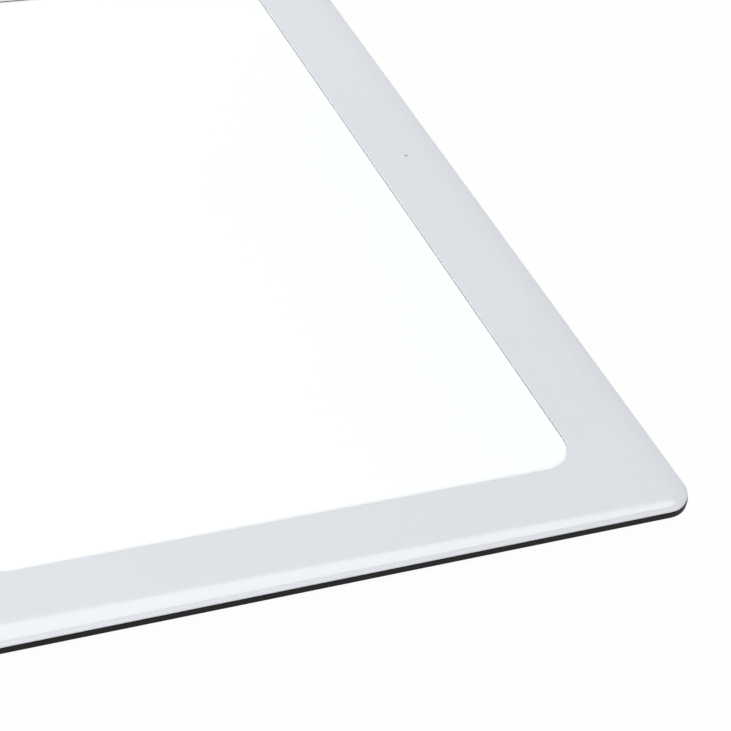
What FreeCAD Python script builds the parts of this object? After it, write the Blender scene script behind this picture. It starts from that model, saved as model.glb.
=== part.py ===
import FreeCAD, Part
import os
import re
import Sketcher

# A slim light pad for tracing: a white frame around a lit panel, on a black base tray.
# All sizes are millimetres. X runs across the pad, Y along it, Z up from the table.
# The origin is on the table, under the middle of the pad.

os.makedirs("parts", exist_ok=True)
doc = FreeCAD.newDocument("light_pad")


# ---------------------------------------------------------------- driving values

SIZES = (
    # the outside
    ("pad_width", 275.0, "overall width"),
    ("pad_length", 365.0, "overall length"),
    ("case_corner_radius", 10.4, "corner of the tray seen from above"),
    ("frame_inset", 0.35, "frame in from the tray's outline"),
    ("window_width", 211.0, "lit width"),
    ("window_length", 311.0, "lit length"),
    ("window_corner_radius", 13.4, "corner of the window"),
    ("slope_width", 5.05, "width of the frame's sloping edge, before it is rounded"),
    ("slope_drop", 1.12, "how far the sloping edge falls"),
    ("slope_round", 36.0, "large round that eases the top into the slope"),
    ("rim_round", 1.1, "round where the slope meets the side"),
    ("window_round", 0.15, "round on the upper edge of the window"),
    ("base_round", 0.4, "round on the lower edge of the tray"),
    # the heights, from the table up
    ("foot_height", 0.5, "rubber foot below the tray"),
    ("floor_height", 1.4, "tray floor"),
    ("reflector_height", 0.15, "white film under the light guide"),
    ("guide_height", 2.0, "acrylic light guide"),
    ("prism_height", 0.2, "prism film"),
    ("diffuser_height", 0.25, "diffuser film"),
    ("cover_height", 0.75, "drawing surface"),
    ("tape_height", 0.4, "black adhesive between the drawing surface and the lip"),
    ("lip_height", 0.35, "lip of the frame over the drawing surface"),
    ("base_height", 2.5, "black side of the tray"),
    # walls of the case
    ("skirt_width", 1.65, "side wall of the frame"),
    ("ledge_width", 1.2, "tray ledge that stands inside the frame"),
    ("ledge_height", 0.7, "how far the ledge stands up"),
    ("fence_width", 1.2, "tray rib around the optical stack"),
    # clearances
    ("ledge_gap", 0.15, "between the ledge and the frame"),
    ("roof_gap", 0.1, "between tray features and the frame's underside"),
    ("cover_gap", 0.2, "around the drawing surface"),
    ("screw_gap", 0.03, "around a screw"),
    ("overshoot", 1.0, "how far a cutting shape runs past what it cuts"),
    # the optical stack
    ("cover_overlap", 4.0, "drawing surface under the lip"),
    ("cover_corner", 3.0, "corner of the drawing surface"),
    ("guide_overlap", 4.0, "light guide beyond the window"),
    ("tape_inset", 0.1, "adhesive back from the window's edge"),
    ("foam_width", 1.0, "foam between the guide and the fence"),
    ("foam_inset", 9.0, "foam in from the guide's sides"),
    ("lamp_gap", 0.2, "between the lamps and the guide"),
    ("lamp_depth", 0.7, "lamp, away from its board"),
    ("lamp_width", 3.5, "lamp along its board"),
    ("lamp_height", 1.6, "lamp, upright"),
    ("lamp_pitch", 8.6, "lamp to lamp"),
    ("lamp_count", 36, "lamps on each side"),
    ("lamps_per_resistor", 3, "lamps in each chain"),
    ("strip_depth", 1.0, "lamp board"),
    ("strip_height", 2.3, "lamp board, upright"),
    ("strip_tape_depth", 0.15, "adhesive behind the lamp board"),
    ("strip_resistor_depth", 0.45, "resistor, away from the lamp board"),
    ("strip_resistor_width", 1.6, "resistor along the lamp board"),
    ("strip_resistor_height", 0.8, "resistor, upright"),
    # the control board and what it carries
    ("key_edge", 16.8, "touch key in from the right side"),
    ("key_front", 204.4, "touch key back from the front side"),
    ("board_width", 20.0, "control board across"),
    ("board_length", 60.0, "control board along"),
    ("board_height", 0.8, "control board"),
    ("board_lift", 0.4, "posts under the control board"),
    ("board_gap", 0.3, "between the control board and the tray wall"),
    ("post_radius", 2.0, "post under the control board"),
    ("pilot_floor", 0.4, "tray floor left below a pilot hole"),
    ("board_screw_radius", 0.7, "control board screw"),
    ("board_screw_reach", 1.1, "control board screw below the board"),
    ("board_screw_head_radius", 1.3, "control board screw head"),
    ("board_screw_head_height", 0.6, "control board screw head"),
    ("board_screw_inset", 3.0, "control board screw in from the board's edges"),
    ("board_screw_slot_width", 0.35, "slot in the control board screw"),
    ("board_hole_gap", 0.2, "control board around its screws"),
    ("leg_length", 1.0, "foot of a chip's leg"),
    ("leg_width", 0.4, "chip's leg"),
    ("leg_height", 0.2, "foot of a chip's leg"),
    ("leg_reach", 0.4, "middle of a leg beyond the chip's side"),
    ("chip_lift", 0.05, "under a chip"),
    ("coil_width", 4.0, "power coil"),
    ("coil_height", 1.2, "power coil"),
    ("capacitor_width", 1.6, "capacitor across the control board"),
    ("capacitor_length", 0.8, "capacitor along the control board"),
    ("capacitor_height", 0.8, "capacitor"),
    ("resistor_width", 0.8, "resistor across the control board"),
    ("resistor_length", 1.6, "resistor along the control board"),
    ("resistor_height", 0.45, "resistor on the control board"),
    ("indicator_width", 1.6, "indicator lamp across"),
    ("indicator_length", 0.8, "indicator lamp along"),
    ("indicator_height", 0.5, "indicator lamp"),
    ("lens_radius", 0.65, "indicator lens"),
    ("lens_gap", 0.05, "around the indicator lens"),
    ("lens_sink", 0.2, "lens top below the frame's top"),
    ("lens_flange_radius", 1.6, "flange that glues the lens to the frame"),
    ("lens_flange_height", 0.4, "flange of the lens"),
    ("ring_outer_radius", 6.0, "touch electrode"),
    ("ring_inner_radius", 2.4, "hole in the touch electrode"),
    ("ring_height", 0.2, "touch electrode"),
    ("leaf_sheet", 0.15, "sheet of the contact leaf"),
    ("leaf_reach", 2.6, "arm of the contact leaf"),
    ("leaf_width", 1.8, "contact leaf"),
    ("leaf_inset", 1.9, "middle of the leaf in from the electrode's edge"),
    ("socket_offset", 16.0, "socket along the board from the touch key"),
    ("socket_width", 7.5, "socket shell across"),
    ("socket_height", 2.45, "socket shell, upright"),
    ("socket_depth", 5.6, "socket shell, front to back"),
    ("socket_wall", 0.3, "sheet of the socket shell"),
    ("socket_sink", 0.4, "socket mouth back from the side of the case"),
    ("socket_gap", 0.4, "opening around the socket shell"),
    ("socket_slot_gap", 0.1, "board slot around the socket shell"),
    ("tab_length", 1.6, "solder tab of the socket, front to back"),
    ("tab_width", 1.2, "solder tab of the socket"),
    ("tab_inset", 1.1, "middle of a solder tab from the socket's back"),
    ("tab_overlap", 0.1, "solder tab into the shell's side"),
    ("insulator_depth", 1.2, "block at the back of the socket"),
    ("tongue_reach", 4.7, "tip of the tongue from the socket's back"),
    ("tongue_width", 4.6, "tongue"),
    ("tongue_height", 0.6, "tongue"),
    ("tongue_rise", 0.9, "tongue above the inside of the shell"),
    ("contact_length", 3.2, "contact on the tongue"),
    ("contact_width", 0.4, "contact on the tongue"),
    ("contact_height", 0.1, "contact on the tongue"),
    ("contact_pitch", 0.85, "contact to contact"),
    ("contact_count", 5, "contacts on the tongue"),
    # fixings, feet and leads
    ("boss_radius", 2.5, "screw boss under the frame"),
    ("boss_inset", 14.3, "screw boss in from the long side"),
    ("corner_boss_inset", 14.5, "corner boss in from the short side"),
    ("side_boss_spread", 75.0, "side bosses either side of the middle"),
    ("end_boss_inset", 12.3, "end boss in from the short side"),
    ("screw_radius", 0.85, "case screw"),
    ("screw_head_radius", 1.7, "case screw head"),
    ("screw_tip_gap", 0.3, "boss bore beyond the screw"),
    ("screw_sink", 0.05, "case screw's head up into the tray"),
    ("screw_hole_gap", 0.15, "tray around a case screw"),
    ("sink_gap", 0.1, "countersink around a case screw's head"),
    ("cross_length", 2.0, "cross slot in a case screw"),
    ("cross_width", 0.4, "cross slot in a case screw"),
    ("cross_depth", 0.4, "cross slot in a case screw"),
    ("foot_radius", 6.0, "rubber foot"),
    ("foot_recess", 0.3, "how far a foot is let into the tray"),
    ("foot_inset", 22.5, "foot in from the long side"),
    ("foot_spread", 150.0, "feet either side of the middle"),
    ("lead_radius", 0.45, "insulated lead"),
    ("lead_pitch", 1.5, "lead to lead"),
    ("lead_inset", 0.5, "first lead in from the edge of the control board"),
    ("lead_lane", 2.0, "first lead beyond the fence"),
    ("lead_notch", 6.0, "gap in the fence for the leads"),
    ("lead_end_inset", 2.3, "leads in from the ends of the lamp boards"),
)

NAMES = {alias for alias, number, meaning in SIZES}

sheet = doc.addObject("Spreadsheet::Sheet", "sizes")
for row, (alias, number, meaning) in enumerate(SIZES, start=1):
    sheet.set("A%d" % row, meaning)
    sheet.set("B%d" % row, str(number))
    sheet.setAlias("B%d" % row, alias)
doc.recompute()


# ---------------------------------------------------------------- derived levels and sizes

FLOOR_TOP = "(foot_height + floor_height)"
GUIDE_BOTTOM = "(%s + reflector_height)" % FLOOR_TOP
PRISM_BOTTOM = "(%s + guide_height)" % GUIDE_BOTTOM
DIFFUSER_BOTTOM = "(%s + prism_height)" % PRISM_BOTTOM
ROOF = "(%s + diffuser_height)" % DIFFUSER_BOTTOM
TAPE_BOTTOM = "(%s + cover_height)" % ROOF
LIP_BOTTOM = "(%s + tape_height)" % TAPE_BOTTOM
CASE_TOP = "(%s + lip_height)" % LIP_BOTTOM
PARTING = "(foot_height + base_height)"
FRAME_HEIGHT = "(%s - %s)" % (CASE_TOP, PARTING)
ROOF_IN_FRAME = "(%s - %s)" % (ROOF, PARTING)

FRAME_WIDTH = "(pad_width - 2 * frame_inset)"
FRAME_LENGTH = "(pad_length - 2 * frame_inset)"
FRAME_CORNER = "(case_corner_radius - frame_inset)"

# The large round has to start before the frame's corners become sharp.
SLOPE_ROOM = "(%s - slope_width - 0.3)" % FRAME_CORNER
SLOPE_ROUND = "min(slope_round; %s * 2 * slope_width / slope_drop)" % SLOPE_ROOM

GUIDE_WIDTH = "(window_width + 2 * guide_overlap)"
GUIDE_LENGTH = "(window_length + 2 * guide_overlap)"
COVER_WIDTH = "(window_width + 2 * cover_overlap)"
COVER_LENGTH = "(window_length + 2 * cover_overlap)"
STRIP_FACE = "(%s / 2 + lamp_gap + lamp_depth)" % GUIDE_WIDTH
STRIP_BACK = "(%s + strip_depth)" % STRIP_FACE
FENCE_HALF_WIDTH = "(%s + strip_tape_depth)" % STRIP_BACK
FENCE_HALF_LENGTH = "(%s / 2 + foam_width)" % GUIDE_LENGTH
FENCE_HEIGHT = "(%s - %s - roof_gap)" % (ROOF, FLOOR_TOP)
LAMP_MIDDLE = "(%s + guide_height / 2)" % GUIDE_BOTTOM

LEDGE_INSET = "(frame_inset + skirt_width + ledge_gap)"
TRAY_WALL = "(%s + ledge_width)" % LEDGE_INSET
BOARD_RIGHT = "(pad_width / 2 - %s - board_gap)" % TRAY_WALL
BOARD_X = "(%s - board_width / 2)" % BOARD_RIGHT
KEY_X = "(pad_width / 2 - key_edge)"
KEY_Y = "(key_front - pad_length / 2)"
BOARD_BOTTOM = "(%s + board_lift)" % FLOOR_TOP
BOARD_TOP = "(%s + board_height)" % BOARD_BOTTOM
SOCKET_Y = "(%s + socket_offset)" % KEY_Y
SOCKET_MOUTH = "(pad_width / 2 - socket_sink)"
SOCKET_BACK = "(%s - socket_depth)" % SOCKET_MOUTH
SOCKET_OPENING = "(socket_width + 2 * socket_gap)"
SOCKET_MIDDLE = "((%s + %s) / 2)" % (FLOOR_TOP, ROOF)
TONGUE_ROOT = "(insulator_depth / 2)"

BOSS_X = "(pad_width / 2 - boss_inset)"
CORNER_BOSS_Y = "(pad_length / 2 - corner_boss_inset)"
END_BOSS_Y = "(pad_length / 2 - end_boss_inset)"
FOOT_X = "(pad_width / 2 - foot_inset)"
SCREW_TOP = "(%s - screw_tip_gap - roof_gap)" % ROOF
STRIP_LENGTH = "(lamp_count * lamp_pitch)"
LEAD_END_Y = "(lead_end_inset - %s / 2)" % STRIP_LENGTH


def expression(text):
    """Point every size name in a formula at its cell in the sheet."""
    def cell(match):
        word = match.group(0)
        if word in NAMES:
            return "sizes." + word
        return word
    return re.sub(r"[a-z_]+", cell, text)


def number_of(text):
    """The present value of a formula, for starting a sketch near its final shape."""
    return float(sheet.evalExpression(expression(text)))


def bind(thing, setting, text):
    thing.setExpression(setting, expression(text))


def minus(text):
    return "(0 - %s)" % text


def place(thing, x="0", y="0", z="0"):
    bind(thing, "Placement.Base.x", x)
    bind(thing, "Placement.Base.y", y)
    bind(thing, "Placement.Base.z", z)


# ---------------------------------------------------------------- sketches

def make_body(name):
    body = doc.addObject("PartDesign::Body", name)
    body.Label = name
    return body


def make_sketch(body, name, x="0", y="0", z="0"):
    """A level sketch, moved to (x, y, z) within its body."""
    for plane in body.Origin.OriginFeatures:
        if plane.Role == "XY_Plane":
            level = plane
    sketch = body.newObject("Sketcher::SketchObject", name)
    sketch.AttachmentSupport = [(level, "")]
    sketch.MapMode = "FlatFace"
    bind(sketch, "AttachmentOffset.Base.x", x)
    bind(sketch, "AttachmentOffset.Base.y", y)
    bind(sketch, "AttachmentOffset.Base.z", z)
    return sketch


def name_dimension(sketch, index, text):
    name = "size_%d" % index
    sketch.renameConstraint(index, name)
    bind(sketch, "Constraints." + name, text)


def point(x, y):
    return FreeCAD.Vector(x, y, 0)


def draw_rectangle(sketch, width, length):
    """A rectangle centred on the sketch's own origin."""
    half_width = number_of(width) / 2
    half_length = number_of(length) / 2
    corners = (
        point(-half_width, -half_length),
        point(half_width, -half_length),
        point(half_width, half_length),
        point(-half_width, half_length),
    )
    first = sketch.GeometryCount
    for side in range(4):
        sketch.addGeometry(Part.LineSegment(corners[side], corners[(side + 1) % 4]))
    for side in range(4):
        following = first + (side + 1) % 4
        sketch.addConstraint(Sketcher.Constraint("Coincident", first + side, 2, following, 1))
    for side in (first, first + 2):
        sketch.addConstraint(Sketcher.Constraint("Horizontal", side))
        sketch.addConstraint(Sketcher.Constraint("Vertical", side + 1))
    sketch.addConstraint(Sketcher.Constraint("Symmetric", first, 1, first + 2, 1, -1, 1))
    across = Sketcher.Constraint("DistanceX", first, 1, first, 2, 2 * half_width)
    along = Sketcher.Constraint("DistanceY", first + 1, 1, first + 1, 2, 2 * half_length)
    name_dimension(sketch, sketch.addConstraint(across), width)
    name_dimension(sketch, sketch.addConstraint(along), length)


def draw_rounded_rectangle(sketch, width, length, radius):
    """A rectangle with round corners, centred on the sketch's own origin."""
    w = number_of(width) / 2
    l = number_of(length) / 2
    r = number_of(radius)
    quarter = 1.5707963267948966
    first = sketch.GeometryCount
    straight = (
        (point(-w + r, -l), point(w - r, -l)),
        (point(w, -l + r), point(w, l - r)),
        (point(w - r, l), point(-w + r, l)),
        (point(-w, l - r), point(-w, -l + r)),
    )
    centres = (point(w - r, -l + r), point(w - r, l - r), point(-w + r, l - r), point(-w + r, -l + r))
    for start, end in straight:
        sketch.addGeometry(Part.LineSegment(start, end))
    for corner, centre in enumerate(centres):
        circle = Part.Circle(centre, FreeCAD.Vector(0, 0, 1), r)
        begin = (corner - 1) * quarter
        sketch.addGeometry(Part.ArcOfCircle(circle, begin, begin + quarter))
    for side in range(4):
        line = first + side
        arc = first + 4 + side
        following = first + (side + 1) % 4
        sketch.addConstraint(Sketcher.Constraint("Tangent", line, 2, arc, 1))
        sketch.addConstraint(Sketcher.Constraint("Tangent", arc, 2, following, 1))
    for side in (first, first + 2):
        sketch.addConstraint(Sketcher.Constraint("Horizontal", side))
        sketch.addConstraint(Sketcher.Constraint("Vertical", side + 1))
    for arc in range(first + 5, first + 8):
        sketch.addConstraint(Sketcher.Constraint("Equal", first + 4, arc))
    sketch.addConstraint(Sketcher.Constraint("Symmetric", first, 1, first + 2, 1, -1, 1))
    rounding = Sketcher.Constraint("Radius", first + 4, r)
    across = Sketcher.Constraint("DistanceX", first + 3, 1, first + 1, 1, 2 * w)
    along = Sketcher.Constraint("DistanceY", first, 1, first + 2, 1, 2 * l)
    name_dimension(sketch, sketch.addConstraint(rounding), radius)
    name_dimension(sketch, sketch.addConstraint(across), width)
    name_dimension(sketch, sketch.addConstraint(along), length)


def draw_circle(sketch, x, y, radius):
    """A circle whose centre is held from the sketch's own origin."""
    centre_x = number_of(x)
    centre_y = number_of(y)
    circle = Part.Circle(point(centre_x, centre_y), FreeCAD.Vector(0, 0, 1), number_of(radius))
    index = sketch.addGeometry(circle)
    rounding = Sketcher.Constraint("Radius", index, number_of(radius))
    name_dimension(sketch, sketch.addConstraint(rounding), radius)
    hold_centre(sketch, index, "DistanceX", centre_x, x)
    hold_centre(sketch, index, "DistanceY", centre_y, y)


def hold_centre(sketch, index, direction, distance, text):
    if abs(distance) < 1e-9:
        kind = "PointOnObject"
        axis = -2 if direction == "DistanceX" else -1
        sketch.addConstraint(Sketcher.Constraint(kind, index, 3, axis))
        return
    dimension = Sketcher.Constraint(direction, -1, 1, index, 3, distance)
    name_dimension(sketch, sketch.addConstraint(dimension), text)


# ---------------------------------------------------------------- features

def pad_up(body, sketch, height, name):
    pad = body.newObject("PartDesign::Pad", name)
    pad.Profile = sketch
    bind(pad, "Length", height)
    doc.recompute()
    return pad


def cut_up(body, sketch, height, name):
    """Cut upwards from a sketch, and make sure that something was cut."""
    before = body.Shape.Volume
    pocket = body.newObject("PartDesign::Pocket", name)
    pocket.Profile = sketch
    pocket.Reversed = True
    bind(pocket, "Length", height)
    doc.recompute()
    if body.Shape.Volume > before - 1e-3:
        raise RuntimeError(name + " cuts nothing")
    return pocket


def level_edges(feature, z, half_width=None, larger=True):
    """Names of the edges that lie flat at height z, inside or outside a half width."""
    names = []
    for index, edge in enumerate(feature.Shape.Edges, start=1):
        box = edge.BoundBox
        if abs(box.ZMin - z) > 1e-4 or abs(box.ZMax - z) > 1e-4:
            continue
        if half_width is not None:
            reach = max(abs(box.XMin), abs(box.XMax))
            if (reach > half_width) != larger:
                continue
        names.append("Edge%d" % index)
    return names


def round_edges(body, feature, edges, radius, name):
    fillet = body.newObject("PartDesign::Fillet", name)
    fillet.Base = (feature, edges)
    bind(fillet, "Radius", radius)
    doc.recompute()
    return fillet


def slope_edges(body, feature, edges, across, down, name):
    """A chamfer that is shallow down the side and wide across the top."""
    chamfer = body.newObject("PartDesign::Chamfer", name)
    chamfer.Base = (feature, edges)
    chamfer.ChamferType = "Two distances"
    bind(chamfer, "Size", down)
    bind(chamfer, "Size2", across)
    doc.recompute()
    top = max(chamfer.Shape.Faces, key=lambda face: face.CenterOfMass.z)
    wanted = number_of(FRAME_WIDTH) - 2 * number_of(across)
    if abs(top.BoundBox.XLength - wanted) > 0.01:
        raise RuntimeError(name + " slopes the wrong way")
    return chamfer


# ---------------------------------------------------------------- plain solids and groups

nodes = []


def finish_node(thing, name):
    thing.Label = name
    nodes.append(thing)
    return thing


def make_box(name, width, length, height, x="0", y="0", z="0"):
    """A box centred on x and y, with its underside at z."""
    box = doc.addObject("Part::Box", name)
    bind(box, "Length", width)
    bind(box, "Width", length)
    bind(box, "Height", height)
    place(box, "%s - %s / 2" % (x, width), "%s - %s / 2" % (y, length), z)
    return box


def make_cylinder(name, radius, height, x="0", y="0", z="0"):
    cylinder = doc.addObject("Part::Cylinder", name)
    bind(cylinder, "Radius", radius)
    bind(cylinder, "Height", height)
    place(cylinder, x, y, z)
    return cylinder


def fuse(name, pieces):
    fusion = doc.addObject("Part::MultiFuse", name)
    fusion.Shapes = pieces
    return fusion


def cut(name, base, tool):
    difference = doc.addObject("Part::Cut", name)
    difference.Base = base
    difference.Tool = tool
    return difference


def repeat(name, pattern, places):
    """One node made of the same solid at several places."""
    links = []
    for index, (x, y, z) in enumerate(places, start=1):
        link = doc.addObject("App::Link", "%s_%d" % (name, index))
        link.LinkedObject = pattern
        link.LinkTransform = True
        place(link, x, y, z)
        links.append(link)
    group = doc.addObject("Part::Compound", name)
    group.Links = links
    return finish_node(group, name)


def boss_places():
    """Where the case screws are: four corners, four on the sides, two on the ends."""
    places = []
    for x in (BOSS_X, minus(BOSS_X)):
        for y in (CORNER_BOSS_Y, "side_boss_spread"):
            places.append((x, y))
            places.append((x, minus(y)))
    places.append(("0", END_BOSS_Y))
    places.append(("0", minus(END_BOSS_Y)))
    return places


def foot_places():
    places = []
    for x in (FOOT_X, minus(FOOT_X)):
        for y in ("foot_spread", "0", minus("foot_spread")):
            places.append((x, y))
    return places


def board_screw_places():
    """Three corners of the control board; the fourth is taken by the socket's side."""
    x_near = "(%s - board_width / 2 + board_screw_inset)" % BOARD_X
    x_far = "(%s + board_width / 2 - board_screw_inset)" % BOARD_X
    y_front = "(%s - board_length / 2 + board_screw_inset)" % KEY_Y
    y_back = "(%s + board_length / 2 - board_screw_inset)" % KEY_Y
    return ((x_far, y_front), (x_near, y_back), (x_far, y_back))


# ---------------------------------------------------------------- the case

def make_top_frame():
    """The white moulding: top plate with a window, side skirt and screw bosses."""
    body = make_body("top_frame")
    outline = make_sketch(body, "frame_outline")
    draw_rounded_rectangle(outline, FRAME_WIDTH, FRAME_LENGTH, FRAME_CORNER)
    block = pad_up(body, outline, FRAME_HEIGHT, "frame_block")
    top = number_of(FRAME_HEIGHT)
    slope = slope_edges(body, block, level_edges(block, top), "slope_width", "slope_drop", "slope")
    soft = round_edges(body, slope, level_edges(slope, top), SLOPE_ROUND, "slope_start")
    shoulder = top - number_of("slope_drop")
    round_edges(body, soft, level_edges(soft, shoulder), "rim_round", "rim")

    hollow = make_sketch(body, "frame_hollow")
    inside_width = "(%s - 2 * skirt_width)" % FRAME_WIDTH
    inside_length = "(%s - 2 * skirt_width)" % FRAME_LENGTH
    draw_rounded_rectangle(hollow, inside_width, inside_length, "(%s - skirt_width)" % FRAME_CORNER)
    cut_up(body, hollow, ROOF_IN_FRAME, "frame_inside")

    seat = make_sketch(body, "cover_seat_outline")
    seat_width = "(%s + 2 * cover_gap)" % COVER_WIDTH
    seat_length = "(%s + 2 * cover_gap)" % COVER_LENGTH
    draw_rounded_rectangle(seat, seat_width, seat_length, "(cover_corner + cover_gap)")
    cut_up(body, seat, "(%s - lip_height)" % FRAME_HEIGHT, "cover_seat")

    window = make_sketch(body, "window_outline")
    draw_rounded_rectangle(window, "window_width", "window_length", "window_corner_radius")
    opening = cut_up(body, window, FRAME_HEIGHT, "window")
    half = number_of("window_width") / 2 + 1
    edges = level_edges(opening, top, half, larger=False)
    round_edges(body, opening, edges, "window_round", "window_edge")

    boss_bottom = "(%s + roof_gap / 2 - %s)" % (FLOOR_TOP, PARTING)
    bosses = make_sketch(body, "boss_outline", z=boss_bottom)
    for x, y in boss_places():
        draw_circle(bosses, x, y, "boss_radius")
    pad_up(body, bosses, "(%s - %s)" % (ROOF_IN_FRAME, boss_bottom), "bosses")
    bores = make_sketch(body, "boss_bore_outline", z=boss_bottom)
    for x, y in boss_places():
        draw_circle(bores, x, y, "(screw_radius + screw_gap)")
    cut_up(body, bores, "(%s - roof_gap - %s)" % (ROOF_IN_FRAME, boss_bottom), "boss_bores")

    eye = make_sketch(body, "lens_hole_outline")
    draw_circle(eye, KEY_X, KEY_Y, "(lens_radius + lens_gap)")
    cut_up(body, eye, FRAME_HEIGHT, "lens_hole")
    mouth = make_sketch(body, "frame_mouth_outline", x="(pad_width / 2)", y=SOCKET_Y)
    draw_rectangle(mouth, "(2 * (frame_inset + skirt_width) + overshoot)", SOCKET_OPENING)
    cut_up(body, mouth, ROOF_IN_FRAME, "frame_mouth")
    place(body, z=PARTING)
    return finish_node(body, "top_frame")


def make_base_tray():
    """The black moulding: floor, wall with a ledge, ribs, posts and screw holes."""
    body = make_body("base_tray")
    outline = make_sketch(body, "tray_outline")
    draw_rounded_rectangle(outline, "pad_width", "pad_length", "case_corner_radius")
    block = pad_up(body, outline, "base_height", "tray_block")
    round_edges(body, block, level_edges(block, 0), "base_round", "tray_lower_edge")

    hollow = make_sketch(body, "tray_hollow", z="floor_height")
    inside_width = "(pad_width - 2 * %s)" % TRAY_WALL
    inside_length = "(pad_length - 2 * %s)" % TRAY_WALL
    inside_corner = "(case_corner_radius - %s)" % TRAY_WALL
    draw_rounded_rectangle(hollow, inside_width, inside_length, inside_corner)
    cut_up(body, hollow, "(base_height - floor_height)", "tray_inside")

    ledge = make_sketch(body, "ledge_outline", z="base_height")
    ledge_width = "(pad_width - 2 * %s)" % LEDGE_INSET
    ledge_length = "(pad_length - 2 * %s)" % LEDGE_INSET
    draw_rounded_rectangle(ledge, ledge_width, ledge_length, "(case_corner_radius - %s)" % LEDGE_INSET)
    draw_rounded_rectangle(ledge, inside_width, inside_length, inside_corner)
    pad_up(body, ledge, "ledge_height", "ledge")

    fence = make_sketch(body, "fence_outline", z="floor_height")
    draw_rectangle(fence, "(2 * %s)" % FENCE_HALF_WIDTH, "(2 * %s)" % FENCE_HALF_LENGTH)
    fence_outer_width = "(2 * (%s + fence_width))" % FENCE_HALF_WIDTH
    fence_outer_length = "(2 * (%s + fence_width))" % FENCE_HALF_LENGTH
    draw_rectangle(fence, fence_outer_width, fence_outer_length)
    pad_up(body, fence, FENCE_HEIGHT, "fence")
    for side, x in (("left", minus(FENCE_HALF_WIDTH)), ("right", FENCE_HALF_WIDTH)):
        notch = make_sketch(body, side + "_notch_outline", x=x, y=LEAD_END_Y, z="floor_height")
        draw_rectangle(notch, "(2 * fence_width + overshoot)", "lead_notch")
        cut_up(body, notch, FENCE_HEIGHT, side + "_notch")

    posts = make_sketch(body, "post_outline", z="floor_height")
    for x, y in board_screw_places():
        draw_circle(posts, x, y, "post_radius")
    pad_up(body, posts, "board_lift", "posts")
    pilots = make_sketch(body, "pilot_outline", z="pilot_floor")
    for x, y in board_screw_places():
        draw_circle(pilots, x, y, "(board_screw_radius + screw_gap)")
    cut_up(body, pilots, "(floor_height + board_lift)", "pilots")

    hole_radius = "(screw_radius + screw_hole_gap)"
    holes = make_sketch(body, "screw_hole_outline")
    for x, y in boss_places():
        draw_circle(holes, x, y, hole_radius)
    drilled = cut_up(body, holes, "(floor_height + overshoot)", "screw_holes")
    sink = body.newObject("PartDesign::Chamfer", "countersinks")
    sink.Base = (drilled, small_level_edges(drilled, 0, number_of(hole_radius)))
    bind(sink, "Size", "(screw_head_radius + sink_gap - %s)" % hole_radius)
    doc.recompute()

    recesses = make_sketch(body, "foot_recess_outline")
    for x, y in foot_places():
        draw_circle(recesses, x, y, "(foot_radius + screw_gap)")
    cut_up(body, recesses, "foot_recess", "foot_recesses")
    mouth = make_sketch(body, "tray_mouth_outline", x="(pad_width / 2)", y=SOCKET_Y, z="floor_height")
    draw_rectangle(mouth, "(2 * %s + overshoot)" % TRAY_WALL, SOCKET_OPENING)
    cut_up(body, mouth, "(base_height + ledge_height - floor_height)", "tray_mouth")
    place(body, z="foot_height")
    return finish_node(body, "base_tray")


def small_level_edges(feature, z, radius):
    """Names of the full circles of one radius at height z."""
    names = []
    for index, edge in enumerate(feature.Shape.Edges, start=1):
        box = edge.BoundBox
        if abs(box.ZMin - z) < 1e-4 and abs(box.ZMax - z) < 1e-4:
            if abs(box.XLength - 2 * radius) < 1e-3 and abs(box.YLength - 2 * radius) < 1e-3:
                names.append("Edge%d" % index)
    return names


def make_feet():
    foot = make_cylinder("foot_pattern", "foot_radius", "(foot_height + foot_recess)")
    repeat("rubber_feet", foot, [(x, y, "0") for x, y in foot_places()])


def make_case_screws():
    """Countersunk screws, driven up through the tray into the frame's bosses."""
    head_height = "(screw_head_radius - screw_radius)"
    head = doc.addObject("Part::Cone", "screw_head")
    bind(head, "Radius1", "screw_head_radius")
    bind(head, "Radius2", "screw_radius")
    bind(head, "Height", head_height)
    shank_height = "(%s - foot_height - screw_sink - %s)" % (SCREW_TOP, head_height)
    shank = make_cylinder("screw_shank", "screw_radius", shank_height, z=head_height)
    whole = fuse("screw_blank", [head, shank])
    slots = fuse("screw_cross", [
        make_box("cross_slot_1", "cross_length", "cross_width", "cross_depth"),
        make_box("cross_slot_2", "cross_width", "cross_length", "cross_depth"),
    ])
    screw = cut("screw_pattern", whole, slots)
    height = "(foot_height + screw_sink)"
    repeat("case_screws", screw, [(x, y, height) for x, y in boss_places()])


# ---------------------------------------------------------------- the optical stack

def make_sheet(name, width, length, height, z):
    return finish_node(make_box(name, width, length, height, z=z), name)


def make_optical_stack():
    make_sheet("reflector_film", GUIDE_WIDTH, GUIDE_LENGTH, "reflector_height", FLOOR_TOP)
    make_sheet("light_guide", GUIDE_WIDTH, GUIDE_LENGTH, "guide_height", GUIDE_BOTTOM)
    make_sheet("prism_film", GUIDE_WIDTH, GUIDE_LENGTH, "prism_height", PRISM_BOTTOM)
    make_sheet("diffuser_film", GUIDE_WIDTH, GUIDE_LENGTH, "diffuser_height", DIFFUSER_BOTTOM)


def make_cover_sheet():
    """The drawing surface, held up against the frame's lip."""
    body = make_body("cover_sheet")
    outline = make_sketch(body, "cover_outline")
    draw_rounded_rectangle(outline, COVER_WIDTH, COVER_LENGTH, "cover_corner")
    pad_up(body, outline, "cover_height", "cover_pad")
    place(body, z=ROOF)
    return finish_node(body, "cover_sheet")


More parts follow.
